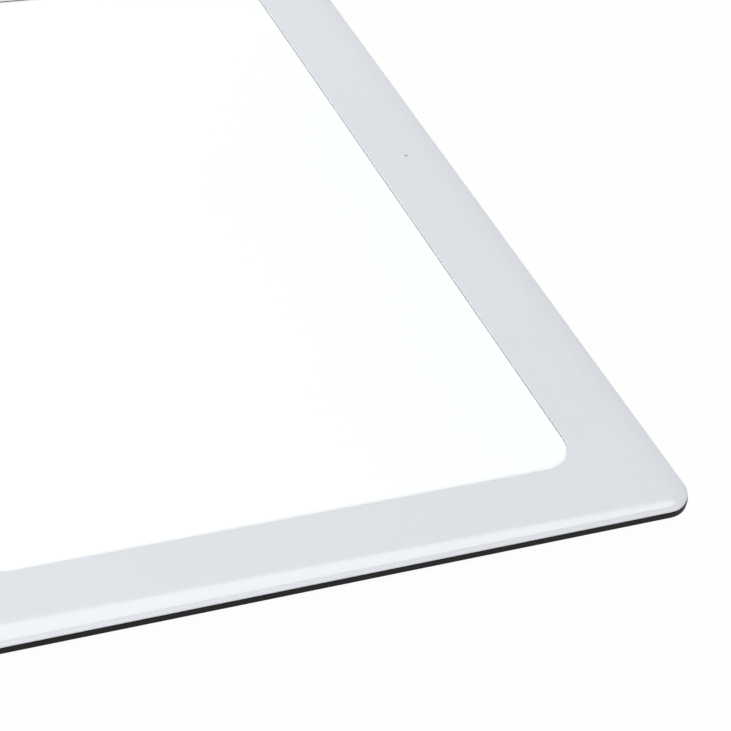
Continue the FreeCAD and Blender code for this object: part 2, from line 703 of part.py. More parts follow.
def make_sheet_tape():
    """A thin ring of adhesive between the drawing surface and the frame's lip."""
    body = make_body("sheet_tape")
    outline = make_sketch(body, "tape_outline")
    draw_rounded_rectangle(outline, COVER_WIDTH, COVER_LENGTH, "cover_corner")
    inner_width = "(window_width + 2 * tape_inset)"
    inner_length = "(window_length + 2 * tape_inset)"
    draw_rounded_rectangle(outline, inner_width, inner_length, "(window_corner_radius + tape_inset)")
    pad_up(body, outline, "tape_height", "tape_pad")
    place(body, z=TAPE_BOTTOM)
    return finish_node(body, "sheet_tape")


def make_foam_strips():
    """Foam that centres the light guide between the two end ribs."""
    length = "(%s - 2 * foam_inset)" % GUIDE_WIDTH
    middle = "(%s / 2 + foam_width / 2)" % GUIDE_LENGTH
    foam = (("front_foam", minus(middle)), ("back_foam", middle))
    for name, y in foam:
        strip = make_box(name, length, "foam_width", "guide_height", y=y, z=GUIDE_BOTTOM)
        finish_node(strip, name)


def along_strip(step):
    """How far along a lamp board the lamp with this number stands."""
    return "((%d - (lamp_count - 1) / 2) * lamp_pitch)" % step


def make_lamp_strip(side, sign):
    """One upright board with its lamps, resistors and adhesive."""
    def across(text):
        return text if sign > 0 else minus(text)

    middle = across("(%s + strip_depth / 2)" % STRIP_FACE)
    board = make_box(side + "_lamp_board", "strip_depth", STRIP_LENGTH, "strip_height",
                     middle, "0", FLOOR_TOP)
    finish_node(board, side + "_lamp_board")

    behind = across("(%s + strip_tape_depth / 2)" % STRIP_BACK)
    tape_length = "(%s - 2 * lead_notch)" % STRIP_LENGTH
    tape = make_box(side + "_strip_tape", "strip_tape_depth", tape_length, "strip_height",
                    behind, "0", FLOOR_TOP)
    finish_node(tape, side + "_strip_tape")

    lamp = make_box(side + "_lamp_pattern", "lamp_depth", "lamp_width", "lamp_height")
    lamp_x = across("(%s - lamp_depth / 2)" % STRIP_FACE)
    lamp_z = "(%s - lamp_height / 2)" % LAMP_MIDDLE
    count = int(number_of("lamp_count"))
    repeat(side + "_lamps", lamp, [(lamp_x, along_strip(step), lamp_z) for step in range(count)])

    chain = int(number_of("lamps_per_resistor"))
    resistor = make_box(side + "_resistor_pattern", "strip_resistor_depth", "strip_resistor_width",
                        "strip_resistor_height")
    resistor_x = across("(%s - strip_resistor_depth / 2)" % STRIP_FACE)
    resistor_z = "(%s - strip_resistor_height / 2)" % LAMP_MIDDLE
    places = []
    for step in range(0, count - 1, chain):
        y = "(%s + lamp_pitch / 2)" % along_strip(step)
        places.append((resistor_x, y, resistor_z))
    repeat(side + "_strip_resistors", resistor, places)


# ---------------------------------------------------------------- the control board

def make_control_board():
    """A small board with a slot for the socket and holes for its three screws."""
    body = make_body("control_board")
    outline = make_sketch(body, "board_outline", x=BOARD_X, y=KEY_Y)
    draw_rectangle(outline, "board_width", "board_length")
    pad_up(body, outline, "board_height", "board_pad")
    slot = make_sketch(body, "socket_slot_outline", x=BOARD_RIGHT, y=SOCKET_Y)
    slot_depth = "(2 * (%s - %s + socket_slot_gap))" % (BOARD_RIGHT, SOCKET_BACK)
    draw_rectangle(slot, slot_depth, "(socket_width + 2 * socket_slot_gap)")
    cut_up(body, slot, "board_height", "socket_slot")
    holes = make_sketch(body, "board_hole_outline")
    for x, y in board_screw_places():
        draw_circle(holes, x, y, "(board_screw_radius + board_hole_gap)")
    cut_up(body, holes, "board_height", "board_holes")
    place(body, z=BOARD_BOTTOM)
    return finish_node(body, "control_board")


def make_board_screws():
    """Slotted screws through the control board into the tray's posts."""
    head_bottom = "(board_screw_reach + board_height)"
    shank = make_cylinder("board_screw_shank", "board_screw_radius", head_bottom)
    head = make_cylinder("board_screw_head", "board_screw_head_radius", "board_screw_head_height",
                         z=head_bottom)
    blank = fuse("board_screw_blank", [shank, head])
    slot_bottom = "(%s + board_screw_head_height / 2)" % head_bottom
    slot = make_box("board_screw_slot", "(2 * board_screw_head_radius)", "board_screw_slot_width",
                    "board_screw_head_height", z=slot_bottom)
    screw = cut("board_screw_pattern", blank, slot)
    height = "(%s - board_screw_reach)" % BOARD_BOTTOM
    repeat("board_screws", screw, [(x, y, height) for x, y in board_screw_places()])


def make_chip(name, x, y, width, length, height, legs, spacing):
    """A moulded package with a row of legs along each of its two long sides."""
    pieces = [make_box(name + "_package", width, length, height, x, y, "(%s + chip_lift)" % BOARD_TOP)]
    for side in (-1, 1):
        for leg in range(legs):
            leg_x = "(%s + %d * (%s / 2 + leg_reach))" % (x, side, width)
            leg_y = "(%s + (%d - (%d - 1) / 2) * %s)" % (y, leg, legs, spacing)
            label = "%s_leg_%d_%d" % (name, side + 1, leg)
            foot = make_box(label, "leg_length", "leg_width", "leg_height", leg_x, leg_y, BOARD_TOP)
            pieces.append(foot)
    finish_node(fuse(name, pieces), name)


def board_spot(across, along):
    """A place on the control board, measured from the touch key's line."""
    return "(%s + %s)" % (BOARD_X, across), "(%s + %s)" % (KEY_Y, along)


def make_board_parts():
    x, y = board_spot("2", "(0 - 14)")
    make_chip("driver_chip", x, y, "3.9", "4.9", "1.15", 4, "1.27")
    x, y = board_spot("(0 - 5)", "13")
    make_chip("touch_chip", x, y, "1.6", "2.9", "0.95", 3, "0.95")

    x, y = board_spot("4", "(0 - 22)")
    coil = make_box("power_coil", "coil_width", "coil_width", "coil_height", x, y, BOARD_TOP)
    finish_node(coil, "power_coil")

    capacitor = make_box("capacitor_pattern", "capacitor_width", "capacitor_length", "capacitor_height")
    spots = (("(0 - 4)", "(0 - 12)"), ("(0 - 4)", "(0 - 14)"), ("(0 - 4)", "(0 - 16)"),
             ("(0 - 1)", "(0 - 22)"), ("(0 - 5)", "17"), ("1", "17"))
    repeat("board_capacitors", capacitor, [board_spot(a, b) + (BOARD_TOP,) for a, b in spots])

    resistor = make_box("resistor_pattern", "resistor_width", "resistor_length", "resistor_height")
    spots = (("(0 - 7)", "(0 - 12)"), ("(0 - 7)", "(0 - 15)"), ("(0 - 7)", "(0 - 18)"),
             ("7", "(0 - 12)"), ("7", "(0 - 15)"), ("(0 - 1)", "11"), ("1", "12"), ("(0 - 7)", "20"))
    repeat("board_resistors", resistor, [board_spot(a, b) + (BOARD_TOP,) for a, b in spots])


def make_touch_key():
    """Under the frame: a ring electrode, its contact leaf, a lamp and a lens."""
    lamp = make_box("indicator_lamp", "indicator_width", "indicator_length", "indicator_height",
                    KEY_X, KEY_Y, BOARD_TOP)
    finish_node(lamp, "indicator_lamp")

    pin_bottom = "(%s - lens_flange_height)" % ROOF
    pin_height = "(%s - lens_sink - %s)" % (CASE_TOP, pin_bottom)
    pin = make_cylinder("lens_pin", "lens_radius", pin_height, KEY_X, KEY_Y, pin_bottom)
    flange = make_cylinder("lens_flange", "lens_flange_radius", "lens_flange_height",
                           KEY_X, KEY_Y, pin_bottom)
    finish_node(fuse("indicator_lens", [pin, flange]), "indicator_lens")

    ring_z = "(%s - ring_height)" % ROOF
    disc = make_cylinder("electrode_disc", "ring_outer_radius", "ring_height", KEY_X, KEY_Y, ring_z)
    hole = make_cylinder("electrode_hole", "ring_inner_radius", "ring_height", KEY_X, KEY_Y, ring_z)
    finish_node(cut("touch_electrode", disc, hole), "touch_electrode")

    leaf_x = "(%s - ring_outer_radius + leaf_inset)" % KEY_X
    bend_x = "(%s - leaf_reach / 2)" % leaf_x
    rise = "(%s - ring_height - %s)" % (ROOF, BOARD_TOP)
    leaf_top = "(%s - ring_height - leaf_sheet)" % ROOF
    foot = make_box("leaf_foot", "leaf_reach", "leaf_width", "leaf_sheet", leaf_x, KEY_Y, BOARD_TOP)
    back = make_box("leaf_back", "leaf_sheet", "leaf_width", rise, bend_x, KEY_Y, BOARD_TOP)
    arm = make_box("leaf_arm", "leaf_reach", "leaf_width", "leaf_sheet", leaf_x, KEY_Y, leaf_top)
    finish_node(fuse("touch_contact", [foot, back, arm]), "touch_contact")


def make_socket():
    """The power socket: a sheet-metal shell, an insulator with a tongue, and contacts."""
    middle = "(%s - socket_depth / 2)" % SOCKET_MOUTH
    bottom = "(%s - socket_height / 2)" % SOCKET_MIDDLE
    inside_bottom = "(%s + socket_wall)" % bottom
    inside_width = "(socket_width - 2 * socket_wall)"
    inside_height = "(socket_height - 2 * socket_wall)"
    outside = make_box("shell_outside", "socket_depth", "socket_width", "socket_height",
                       middle, SOCKET_Y, bottom)
    inside = make_box("shell_inside", "(socket_depth + overshoot)", inside_width, inside_height,
                      middle, SOCKET_Y, inside_bottom)
    pieces = [cut("shell_tube", outside, inside)]
    tab_x = "(%s + tab_inset)" % SOCKET_BACK
    for side in (-1, 1):
        tab_y = "(%s + %d * (socket_width / 2 + tab_width / 2 - tab_overlap))" % (SOCKET_Y, side)
        label = "shell_tab_%d" % (side + 1)
        pieces.append(make_box(label, "tab_length", "tab_width", "socket_wall", tab_x, tab_y, BOARD_TOP))
    finish_node(fuse("socket_shell", pieces), "socket_shell")

    block_x = "(%s + insulator_depth / 2)" % SOCKET_BACK
    block = make_box("insulator_block", "insulator_depth", inside_width, inside_height,
                     block_x, SOCKET_Y, inside_bottom)
    tongue_length = "(tongue_reach - insulator_depth + %s)" % TONGUE_ROOT
    tongue_x = "(%s + tongue_reach - %s / 2)" % (SOCKET_BACK, tongue_length)
    tongue_bottom = "(%s + tongue_rise)" % inside_bottom
    tongue = make_box("insulator_tongue", tongue_length, "tongue_width", "tongue_height",
                      tongue_x, SOCKET_Y, tongue_bottom)
    finish_node(fuse("socket_insulator", [block, tongue]), "socket_insulator")

    strip = make_box("contact_pattern", "contact_length", "contact_width", "contact_height")
    contact_x = "(%s + (insulator_depth + tongue_reach) / 2)" % SOCKET_BACK
    contact_z = "(%s - contact_height)" % tongue_bottom
    places = []
    for step in range(int(number_of("contact_count"))):
        y = "(%s + (%d - (contact_count - 1) / 2) * contact_pitch)" % (SOCKET_Y, step)
        places.append((contact_x, y, contact_z))
    repeat("socket_contacts", strip, places)


# ---------------------------------------------------------------- leads

def make_lead(name, corners):
    """A round lead that runs straight from corner to corner and rests on the floor."""
    z = "(%s + lead_radius)" % FLOOR_TOP
    pieces = []
    for index in range(len(corners) - 1):
        x1, y1 = corners[index]
        x2, y2 = corners[index + 1]
        run = doc.addObject("Part::Cylinder", "%s_run_%d" % (name, index))
        bind(run, "Radius", "lead_radius")
        along_x = abs(number_of(x2) - number_of(x1)) > abs(number_of(y2) - number_of(y1))
        low, high = (x1, x2) if along_x else (y1, y2)
        if number_of(low) > number_of(high):
            low, high = high, low
        bind(run, "Height", "(%s - %s)" % (high, low))
        turn = FreeCAD.Vector(0, 1, 0) if along_x else FreeCAD.Vector(-1, 0, 0)
        run.Placement = FreeCAD.Placement(FreeCAD.Vector(0, 0, 0), FreeCAD.Rotation(turn, 90))
        place(run, low if along_x else x1, y1 if along_x else low, z)
        pieces.append(run)
        if index > 0:
            ball = doc.addObject("Part::Sphere", "%s_bend_%d" % (name, index))
            bind(ball, "Radius", "lead_radius")
            place(ball, x1, y1, z)
            pieces.append(ball)
    finish_node(fuse(name, pieces), name)


def make_leads():
    """Two leads to each lamp board, from the front end of the control board."""
    start = "(%s - board_length / 2)" % KEY_Y
    first = "(%s - board_width / 2 + lead_inset)" % BOARD_X
    second = "(%s + lead_pitch)" % first
    third = "(%s + 2 * lead_pitch)" % first
    fourth = "(%s + 3 * lead_pitch)" % first
    lane = "(%s + fence_width + lead_lane)" % FENCE_HALF_WIDTH
    lane_2 = "(%s + lead_pitch)" % lane
    row = "(%s + fence_width + lead_lane)" % FENCE_HALF_LENGTH
    row_2 = "(%s + lead_pitch)" % row
    upper = "(%s + lead_pitch / 2)" % LEAD_END_Y
    lower = "(%s - lead_pitch / 2)" % LEAD_END_Y
    make_lead("right_supply_lead", [(first, start), (first, upper), (STRIP_BACK, upper)])
    make_lead("right_return_lead", [(second, start), (second, lower), (STRIP_BACK, lower)])
    make_lead("left_supply_lead", [
        (third, start), (third, minus(row)), (minus(lane), minus(row)),
        (minus(lane), lower), (minus(STRIP_BACK), lower)])
    make_lead("left_return_lead", [
        (fourth, start), (fourth, minus(row_2)), (minus(lane_2), minus(row_2)),
        (minus(lane_2), upper), (minus(STRIP_BACK), upper)])


# ---------------------------------------------------------------- build, check and write

make_top_frame()
make_base_tray()
make_feet()
make_case_screws()
make_optical_stack()
make_cover_sheet()
make_sheet_tape()
make_foam_strips()
make_lamp_strip("left", -1)
make_lamp_strip("right", 1)
make_control_board()
make_board_screws()
make_board_parts()
make_touch_key()
make_socket()
make_leads()
doc.recompute()

for thing in doc.Objects:
    if "Invalid" in thing.State or "Error" in thing.State:
        raise RuntimeError("%s is %s" % (thing.Label, thing.State))
for node in nodes:
    if node.Shape.isNull() or not node.Shape.isValid() or node.Shape.Volume <= 0:
        raise RuntimeError("%s has no sound shape" % node.Label)
    node.Shape.exportStep("parts/%s.step" % node.Label)
    box = node.Shape.BoundBox
    low = "%.2f %.2f %.2f" % (box.XMin, box.YMin, box.ZMin)
    high = "%.2f %.2f %.2f" % (box.XMax, box.YMax, box.ZMax)
    print("%-22s %3d solids  %s  to  %s" % (node.Label, len(node.Shape.Solids), low, high))
print("%d nodes" % len(nodes))
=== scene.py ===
# %% [markdown]
# # A slim light pad for tracing
# The pad is a white moulded frame around a lit panel, on a black base tray. All its pieces come from
# the CAD model, already at their real size and in their real places, so this lesson is about what
# makes moulded plastic, film, metal and rubber look like themselves, and about soft studio light.
# The first cell loads the pieces and keeps the size of the whole object.

# %% Load the pad
import math

import bpy
from mathutils import Matrix, Vector


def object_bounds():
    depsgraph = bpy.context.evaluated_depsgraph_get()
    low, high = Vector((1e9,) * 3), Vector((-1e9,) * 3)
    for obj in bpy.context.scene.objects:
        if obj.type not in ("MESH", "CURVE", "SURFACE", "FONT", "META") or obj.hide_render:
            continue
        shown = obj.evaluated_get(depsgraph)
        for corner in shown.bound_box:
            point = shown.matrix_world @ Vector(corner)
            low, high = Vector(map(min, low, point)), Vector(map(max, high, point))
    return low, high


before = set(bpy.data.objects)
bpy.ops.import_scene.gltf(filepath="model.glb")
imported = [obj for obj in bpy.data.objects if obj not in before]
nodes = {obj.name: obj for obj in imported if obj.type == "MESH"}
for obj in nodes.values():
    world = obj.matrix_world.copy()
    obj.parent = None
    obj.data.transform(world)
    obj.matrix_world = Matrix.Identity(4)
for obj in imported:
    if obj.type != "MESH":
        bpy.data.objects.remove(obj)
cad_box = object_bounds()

scene = bpy.context.scene
pad_low, pad_high = Vector(cad_box[0]), Vector(cad_box[1])
print("pieces:", len(nodes), " size in mm:", [round(1000 * side, 1) for side in pad_high - pad_low])

# %% [markdown]
# # Shader maths as expressions
# A procedural material is a small sum: noise times an amount, plus a colour. Written as nodes it is
# long, so a class wraps a node's output and lets Python's own signs add the Math nodes. A second class
# holds a node tree and makes every other node in one way: from its type, its settings and its inputs.

# %% A socket that can be added and multiplied
class Value:
    """A number that varies over a surface: the output of a node in one graph."""

    def __init__(self, graph, socket):
        self.graph = graph
        self.socket = socket

    def combine(self, operation, first, second):
        node = self.graph.node("ShaderNodeMath", {"operation": operation}, {0: first, 1: second})
        return Value(self.graph, node.outputs[0])

    def __add__(self, other):
        return self.combine("ADD", self, other)

    __radd__ = __add__

    def __mul__(self, other):
        return self.combine("MULTIPLY", self, other)

    __rmul__ = __mul__

    def __sub__(self, other):
        return self.combine("SUBTRACT", self, other)

    def __rsub__(self, other):
        return self.combine("SUBTRACT", other, self)


# %% A node tree
class Graph:
    def __init__(self, tree):
        self.tree = tree

    def existing(self, kind):
        """The node of this type that the tree already had."""
        return next(node for node in self.tree.nodes if node.type == kind)

    def node(self, kind, settings, inputs):
        made = self.tree.nodes.new(kind)
        for setting, choice in settings.items():
            setattr(made, setting, choice)
        for socket, source in inputs.items():
            self.feed(made.inputs[socket], source)
        return made

    def feed(self, socket, source):
        if isinstance(source, Value):
            source = source.socket
        if isinstance(source, bpy.types.NodeSocket):
            self.tree.links.new(source, socket)
        else:
            socket.default_value = source

    def looked_at(self):
        """1 where the camera, a gloss or a clear part looks at it, 0 where it only lights others."""
        rays = self.node("ShaderNodeLightPath", {}, {}).outputs
        camera = Value(self, rays["Is Camera Ray"])
        gloss = Value(self, rays["Is Glossy Ray"])
        clear = Value(self, rays["Is Transmission Ray"])
        return camera + gloss + clear


# %% [markdown]
# # One finish, one material
# Each finish is the graph of a material with a Principled shader, and its recipe reads from top to
# bottom. Patterns are measured in metres on Object coordinates, because every piece sits at the
# origin with its place in its mesh.

# %% The finish class
class Finish(Graph):
    def __init__(self, name):
        self.material = bpy.data.materials.new(name)
        self.material.use_nodes = True
        super().__init__(self.material.node_tree)
        self.shader = self.existing("BSDF_PRINCIPLED")
        self.place = self.node("ShaderNodeTexCoord", {}, {}).outputs["Object"]

    def plain(self, **numbers):
        """Numbers that are the same all over, set on the shader's own sockets."""
        for name, number in numbers.items():
            self.shader.inputs[name.replace("_", " ").title().replace("Ior", "IOR")].default_value = number

    def noise(self, size, detail=2.0, stretch=(1, 1, 1)):
        """Cloudy variation from 0 to 1 whose blobs are about `size` metres across."""
        scale = Vector(stretch) / size
        moved = self.node("ShaderNodeMapping", {}, {"Vector": self.place, "Scale": scale})
        inputs = {"Vector": moved.outputs[0], "Scale": 1.0, "Detail": detail}
        cloud = self.node("ShaderNodeTexNoise", {}, inputs)
        return Value(self, cloud.outputs[0])

    def ramp(self, value, low, high):
        """Sharpens a value: 0 below low, 1 above high."""
        limits = {"Value": value, "From Min": low, "From Max": high}
        node = self.node("ShaderNodeMapRange", {"clamp": True}, limits)
        return Value(self, node.outputs[0])

    def mix(self, amount, first, second):
        """A colour between two colours."""
        node = self.node("ShaderNodeMix", {"data_type": "RGBA"}, {0: amount, 6: first, 7: second})
        return node.outputs[2]

    def bump(self, height, depth):
        """Tiny relief; depth is how far the highest point stands out, in metres."""
        node = self.node("ShaderNodeBump", {}, {"Height": height, "Distance": depth, "Strength": 1.0})
        self.feed(self.shader.inputs["Normal"], node.outputs[0])

    def colour(self, source):
        self.feed(self.shader.inputs["Base Color"], source)

    def roughness(self, source):
        self.feed(self.shader.inputs["Roughness"], source)

    def on(self, *names):
        for name in names:
            nodes[name].data.materials.clear()
            nodes[name].data.materials.append(self.material)
        print("%-18s on %s" % (self.material.name, ", ".join(names)))


def grey(level, warmth=0.0):
    """A near-grey colour in linear light; warmth above 0 leans to red, below 0 to blue."""
    return (level * (1 + warmth), level, level * (1 - warmth), 1.0)


# %% [markdown]
# # The white frame
# The frame is injection moulded in a glossy white plastic. A gloss moulding isn't a mirror: the
# steel mould leaves a soft orange-peel ripple a few millimetres across and a fraction of a micron
# deep, which bends reflections slightly. Handling leaves faint patches that are a little less
# shiny. The gloss is the plastic's own, so the shader has no separate coat.

# %% Glossy white moulding
white_gloss = Finish("glossy_white_plastic")
cloud = white_gloss.noise(0.060, detail=3.0)
smudge = white_gloss.ramp(white_gloss.noise(0.022, detail=4.0), 0.48, 0.80)
speck = white_gloss.ramp(white_gloss.noise(0.0006, detail=1.0), 0.72, 0.80)
pale = white_gloss.mix(cloud, (0.766, 0.791, 0.832, 1), (0.782, 0.806, 0.846, 1))
white_gloss.colour(white_gloss.mix(0.05 * speck, pale, (0.60, 0.61, 0.63, 1)))
white_gloss.roughness(0.09 + 0.04 * smudge + 0.01 * cloud)
ripple = white_gloss.noise(0.0040, detail=2.0)
white_gloss.bump(ripple, 0.0000012)
white_gloss.plain(ior=1.50)
white_gloss.on("top_frame")

# %% [markdown]
# # The lit panel
# The drawing surface is a milky acrylic sheet. Light comes through it almost evenly, with a slow
# drift of tone, because no light guide is perfect. A fine satin texture keeps paper from slipping.
# The glow is the shader's own emission, kept low, so that the panel still takes shade and
# reflections.

# %% Milky drawing surface, lit from behind
milky = Finish("lit_milky_acrylic")
drift = milky.noise(0.120, detail=2.0)
grain = milky.noise(0.0005, detail=2.0)
milky.colour(milky.mix(drift, (0.800, 0.815, 0.820, 1), (0.820, 0.830, 0.832, 1)))
glow_tone = milky.mix(drift, (0.955, 1.0, 0.985, 1), (0.97, 1.0, 0.99, 1))
milky.feed(milky.shader.inputs["Emission Color"], glow_tone)
milky.plain(emission_strength=0.22, ior=1.49)
milky.roughness(0.38 + 0.06 * grain)
milky.bump(grain, 0.000002)
milky.on("cover_sheet")

# %% [markdown]
# # The black tray
# The tray is a matt black moulding. Its mould is spark-eroded, which leaves a fine grain, and the
# black has a trace of violet. The roughness, the relief and part of the colour share one noise.

# %% Grained black moulding
black_grain = Finish("grained_black_plastic")
pits = black_grain.noise(0.00035, detail=3.0)
rub = black_grain.ramp(black_grain.noise(0.030, detail=4.0), 0.50, 0.85)
soot = black_grain.mix(rub, (0.0050, 0.0042, 0.0050, 1), (0.0085, 0.0074, 0.0080, 1))
black_grain.colour(black_grain.mix(0.4 * pits, soot, (0.0140, 0.0126, 0.0135, 1)))
black_grain.roughness(0.48 + 0.15 * pits + 0.06 * rub)
black_grain.plain(specular_ior_level=0.14)
black_grain.bump(pits, 0.000010)
black_grain.on("base_tray")

# %% [markdown]
# # Rubber feet and foam
# Rubber is dark, matt and a little dusty. Foam is rubber full of cells, so it gets the same recipe
# with coarser, deeper cells.

# %% Rubber and foam
def make_rubber(name, cell, depth, dark, dusty, *pieces):
    rubber = Finish(name)
    cells = rubber.noise(cell, detail=3.0)
    dust = rubber.ramp(rubber.noise(0.004, detail=4.0), 0.52, 0.80)
    rubber.colour(rubber.mix(0.7 * dust, grey(dark, 0.03), grey(dusty, 0.05)))
    rubber.roughness(0.70 + 0.18 * dust)
    rubber.bump(cells, depth)
    rubber.on(*pieces)


make_rubber("foot_rubber", 0.0003, 0.000008, 0.020, 0.055, "rubber_feet")
make_rubber("black_foam", 0.0008, 0.000060, 0.024, 0.045, "front_foam", "back_foam")

# %% [markdown]
# # The films and the light guide
# Under the drawing surface lie a diffuser, a prism film, an acrylic guide and a white reflector.
# They are closed in, and show only when the pad is taken apart. Films have very fine rolling lines
# along their length; the guide is clear, with a haze of printed dots that throws the light upwards.

# %% White films
def make_film(name, tone, rough, line, *pieces):
    film = Finish(name)
    streak = film.noise(line, detail=2.0, stretch=(1.0, 0.02, 1.0))
    haze = film.noise(0.015, detail=3.0)
    film.colour(film.mix(haze, grey(tone), grey(tone * 0.96, -0.01)))
    film.roughness(rough + 0.10 * streak)
    film.bump(streak, 0.000002)
    film.on(*pieces)


make_film("reflector_white", 0.86, 0.35, 0.0010, "reflector_film")
make_film("prism_satin", 0.78, 0.22, 0.0003, "prism_film")
make_film("diffuser_matt", 0.82, 0.50, 0.0008, "diffuser_film")

# %% Clear light guide with a haze of dots
acrylic = Finish("clear_acrylic_guide")
dots = acrylic.node("ShaderNodeTexVoronoi", {}, {"Vector": acrylic.place, "Scale": 700.0})
dot = 1.0 - acrylic.ramp(Value(acrylic, dots.outputs["Distance"]), 0.18, 0.26)
acrylic.colour(acrylic.mix(0.5 * dot, (0.86, 0.92, 0.93, 1), (0.93, 0.94, 0.94, 1)))
acrylic.roughness(0.06 + 0.40 * dot)
acrylic.plain(transmission_weight=0.85, ior=1.49)
acrylic.on("light_guide")

# %% [markdown]
# # Adhesives
# Two kinds of thin tape hold the pieces. The one behind the lamp boards is pale, and the one under
# the frame's lip is black, so that no light leaks out around the panel. Its black also paints the
# shade at the foot of the window's wall, where it shows as a fine dark line of painted shade.
# Both have a fibrous carrier that shows as soft streaks.

# %% Adhesive tapes
def make_tape(name, tone, worn, *pieces):
    tape = Finish(name)
    fibre = tape.noise(0.0012, detail=4.0, stretch=(1.0, 0.2, 1.0))
    tape.colour(tape.mix(fibre, tone, worn))
    tape.roughness(0.45 + 0.20 * fibre)
    tape.bump(fibre, 0.000010)
    tape.on(*pieces)


make_tape("pale_adhesive_tape", (0.70, 0.69, 0.64, 1), (0.82, 0.81, 0.77, 1),
          "left_strip_tape", "right_strip_tape")
# This tape's black blocks light and also stands in for the shade line along the window's edge.
make_tape("black_tape_and_painted_shade_line", grey(0.012), grey(0.022), "sheet_tape")

# %% [markdown]
# # Circuit boards
# A circuit board is glass cloth in resin under a coloured lacquer. The cloth's weave prints through
# as a faint square relief, and copper tracks below the lacquer show as lines of another tone.

# %% Lacquered boards
def make_board(name, lacquer, track, *pieces):
    board = Finish(name)
    threads = {"Vector": board.place, "Scale": 260.0}
    warp = board.node("ShaderNodeTexWave", {"bands_direction": "X"}, threads)
    weft = board.node("ShaderNodeTexWave", {"bands_direction": "Y"}, threads)
    weave = 0.5 * Value(board, warp.outputs[1]) + 0.5 * Value(board, weft.outputs[1])
    routes = board.ramp(board.noise(0.0035, detail=0.0, stretch=(1.0, 0.25, 1.0)), 0.49, 0.53)
    board.colour(board.mix(0.6 * routes, lacquer, track))
    board.roughness(0.30 + 0.10 * weave)
    board.bump(weave, 0.000006)
    board.on(*pieces)


make_board("green_lacquered_board", (0.010, 0.085, 0.030, 1), (0.030, 0.160, 0.060, 1),
           "control_board")
make_board("white_lacquered_board", (0.72, 0.73, 0.71, 1), (0.60, 0.62, 0.60, 1),
           "left_lamp_board", "right_lamp_board")

# %% [markdown]
# # Lamps and small parts on the boards
# The lamps are plain blocks, patched with white and phosphor yellow. Chips are matt black resin with
# a sandy grain. Ceramic capacitors are tan and a little cloudy.

# %% Phosphor lamps
phosphor = Finish("phosphor_lamp")
pool = phosphor.ramp(phosphor.noise(0.0012, detail=2.0), 0.42, 0.58)
phosphor.colour(phosphor.mix(pool, (0.80, 0.78, 0.66, 1), (0.86, 0.64, 0.12, 1)))
phosphor.roughness(0.30 + 0.20 * pool)
phosphor.bump(pool, 0.000010)
phosphor.on("left_lamps", "right_lamps", "indicator_lamp")

# %% Black resin and tan ceramic
resin = Finish("black_resin_package")
sand = resin.noise(0.00012, detail=2.0)
resin.colour(resin.mix(sand, grey(0.014), grey(0.032)))
resin.roughness(0.50 + 0.20 * sand)
resin.bump(sand, 0.000005)
resin.on("driver_chip", "touch_chip", "power_coil", "board_resistors", "left_strip_resistors",
         "right_strip_resistors", "socket_insulator")

ceramic = Finish("tan_ceramic_chip")
fired = ceramic.noise(0.0006, detail=3.0)
ceramic.colour(ceramic.mix(fired, (0.36, 0.24, 0.13, 1), (0.50, 0.37, 0.22, 1)))
ceramic.roughness(0.35 + 0.25 * fired)
ceramic.bump(fired, 0.000004)
ceramic.on("board_capacitors")

# %% [markdown]
# # Metals
# Plated steel, gold contacts and copper foil share a recipe: full metallic, with fine drawing lines,
# and soft stains that are both rougher and duller.

# %% Plated and drawn metals
def make_metal(name, bright, dull, rough, *pieces):
    metal = Finish(name)
    drawn = metal.noise(0.0004, detail=3.0, stretch=(0.1, 1.0, 1.0))
    stain = metal.ramp(metal.noise(0.0030, detail=4.0), 0.45, 0.80)
    metal.colour(metal.mix(0.6 * stain, bright, dull))
    metal.roughness(rough + 0.10 * drawn + 0.12 * stain)
    metal.bump(drawn, 0.000003)
    metal.plain(metallic=1.0)
    metal.on(*pieces)


make_metal("zinc_plated_steel", (0.62, 0.62, 0.60, 1), (0.44, 0.43, 0.41, 1), 0.26,
           "case_screws", "board_screws", "socket_shell")
make_metal("gold_plated_contact", (0.88, 0.66, 0.26, 1), (0.66, 0.46, 0.17, 1), 0.20,
           "socket_contacts", "touch_contact")
make_metal("copper_foil", (0.78, 0.42, 0.26, 1), (0.52, 0.25, 0.15, 1), 0.28, "touch_electrode")

# %% [markdown]
# # The indicator lens
# A pin of clear plastic carries the indicator's light to the top of the frame. Seen from above it is
# a tiny grey eye: it stands a little below the surface, and its grey colour is painted shade of that
# recess.

# %% Clear lens pin
lens = Finish("clear_lens_painted_recess_shade")
haze = lens.noise(0.0008, detail=2.0)
# The grey colour is painted shade of the recess the pin sits in, not a tint of the plastic.
lens.colour(lens.mix(haze, (0.60, 0.62, 0.65, 1), (0.70, 0.72, 0.74, 1)))
lens.roughness(0.12 + 0.10 * haze)
lens.plain(transmission_weight=0.25, ior=1.50)
lens.on("indicator_lens")

# %% [markdown]
# # Leads
# The leads are extruded plastic insulation: satin, with a slow change of tone.

# %% Insulated leads
def make_insulation(name, tone, faded, *pieces):
    skin = Finish(name)
    drift = skin.noise(0.010, detail=3.0)
    skin.colour(skin.mix(drift, tone, faded))
    skin.roughness(0.34 + 0.16 * drift)
    skin.bump(skin.noise(0.0005, detail=2.0), 0.000004)
    skin.on(*pieces)


make_insulation("red_insulation", (0.42, 0.015, 0.012, 1), (0.52, 0.035, 0.028, 1),
                "left_supply_lead", "right_supply_lead")
make_insulation("black_insulation", grey(0.014), grey(0.026), "left_return_lead", "right_return_lead")

# %% [markdown]
# # The floor
# The pad stands on a plain white table. What the camera, a gloss or a clear part sees of the floor is
# mostly its own white, and a share of real, shaded white is mixed in, so that the pad's soft contact
# shadow stays on it. Its underside is clear, so that the pad can also be looked at from below. The
# table lies a hundredth of a millimetre under the feet, because two faces in one plane flicker, and
# off centre, so that the seam between its two triangles doesn't run beneath the pad.

